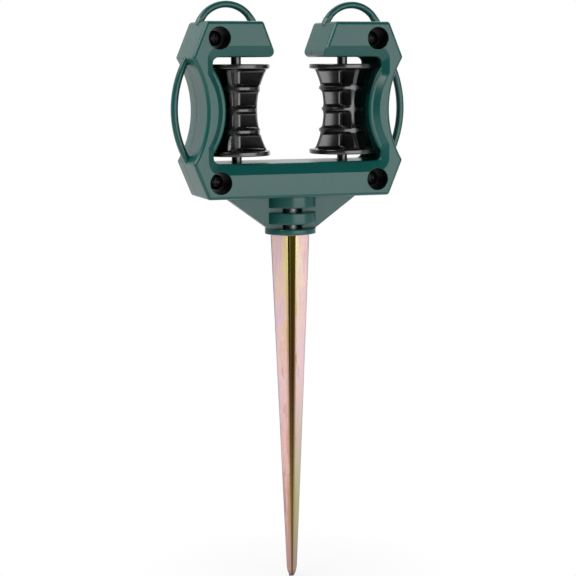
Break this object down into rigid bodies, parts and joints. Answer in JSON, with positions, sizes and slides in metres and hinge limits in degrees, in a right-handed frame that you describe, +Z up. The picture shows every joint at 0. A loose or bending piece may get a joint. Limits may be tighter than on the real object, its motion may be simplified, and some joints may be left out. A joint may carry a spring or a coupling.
{
  "type": "hose guide stake",
  "caption": "Garden hose guide: a C shaped head with hourglass rollers and hoops, which swivels on a pressed steel ground blade.",
  "frame": {"origin": "on the swivel axis, at the underside of the socket collar, which is the ground line when the blade is fully pushed in", "axes": "+Z up along the swivel axis, +X to the right seen from the front, +Y from the front to the back"},
  "size_m": [0.1378, 0.038, 0.3329],
  "materials": {
    "green_plastic": "satin moulded plastic, dark green",
    "black_plastic": "glossy moulded plastic, black",
    "screw_steel": "black phosphated steel",
    "yellow_zinc": "yellow chromated zinc, iridescent"
  },
  "bodies": {
    "stake": {"ground_stake": "yellow_zinc", "pivot_post": "yellow_zinc"},
    "head": {"front_housing": "green_plastic", "rear_housing": "green_plastic", "top_left_screw": "screw_steel", "top_right_screw": "screw_steel", "bottom_left_screw": "screw_steel", "bottom_right_screw": "screw_steel"},
    "left_roller_body": {"left_roller": "black_plastic"},
    "right_roller_body": {"right_roller": "black_plastic"}
  },
  "joints": [
    {"name": "head_swivel", "type": "hinge", "parent": "stake", "child": "head", "pos_m": [0, 0, 0], "axis": [0, 0, 1], "continuous": true},
    {"name": "left_roller_spin", "type": "hinge", "parent": "head", "child": "left_roller_body", "pos_m": [-0.0314, 0, 0.0701], "axis": [0, 0, 1], "continuous": true},
    {"name": "right_roller_spin", "type": "hinge", "parent": "head", "child": "right_roller_body", "pos_m": [0.0314, 0, 0.0701], "axis": [0, 0, 1], "continuous": true}
  ]
}
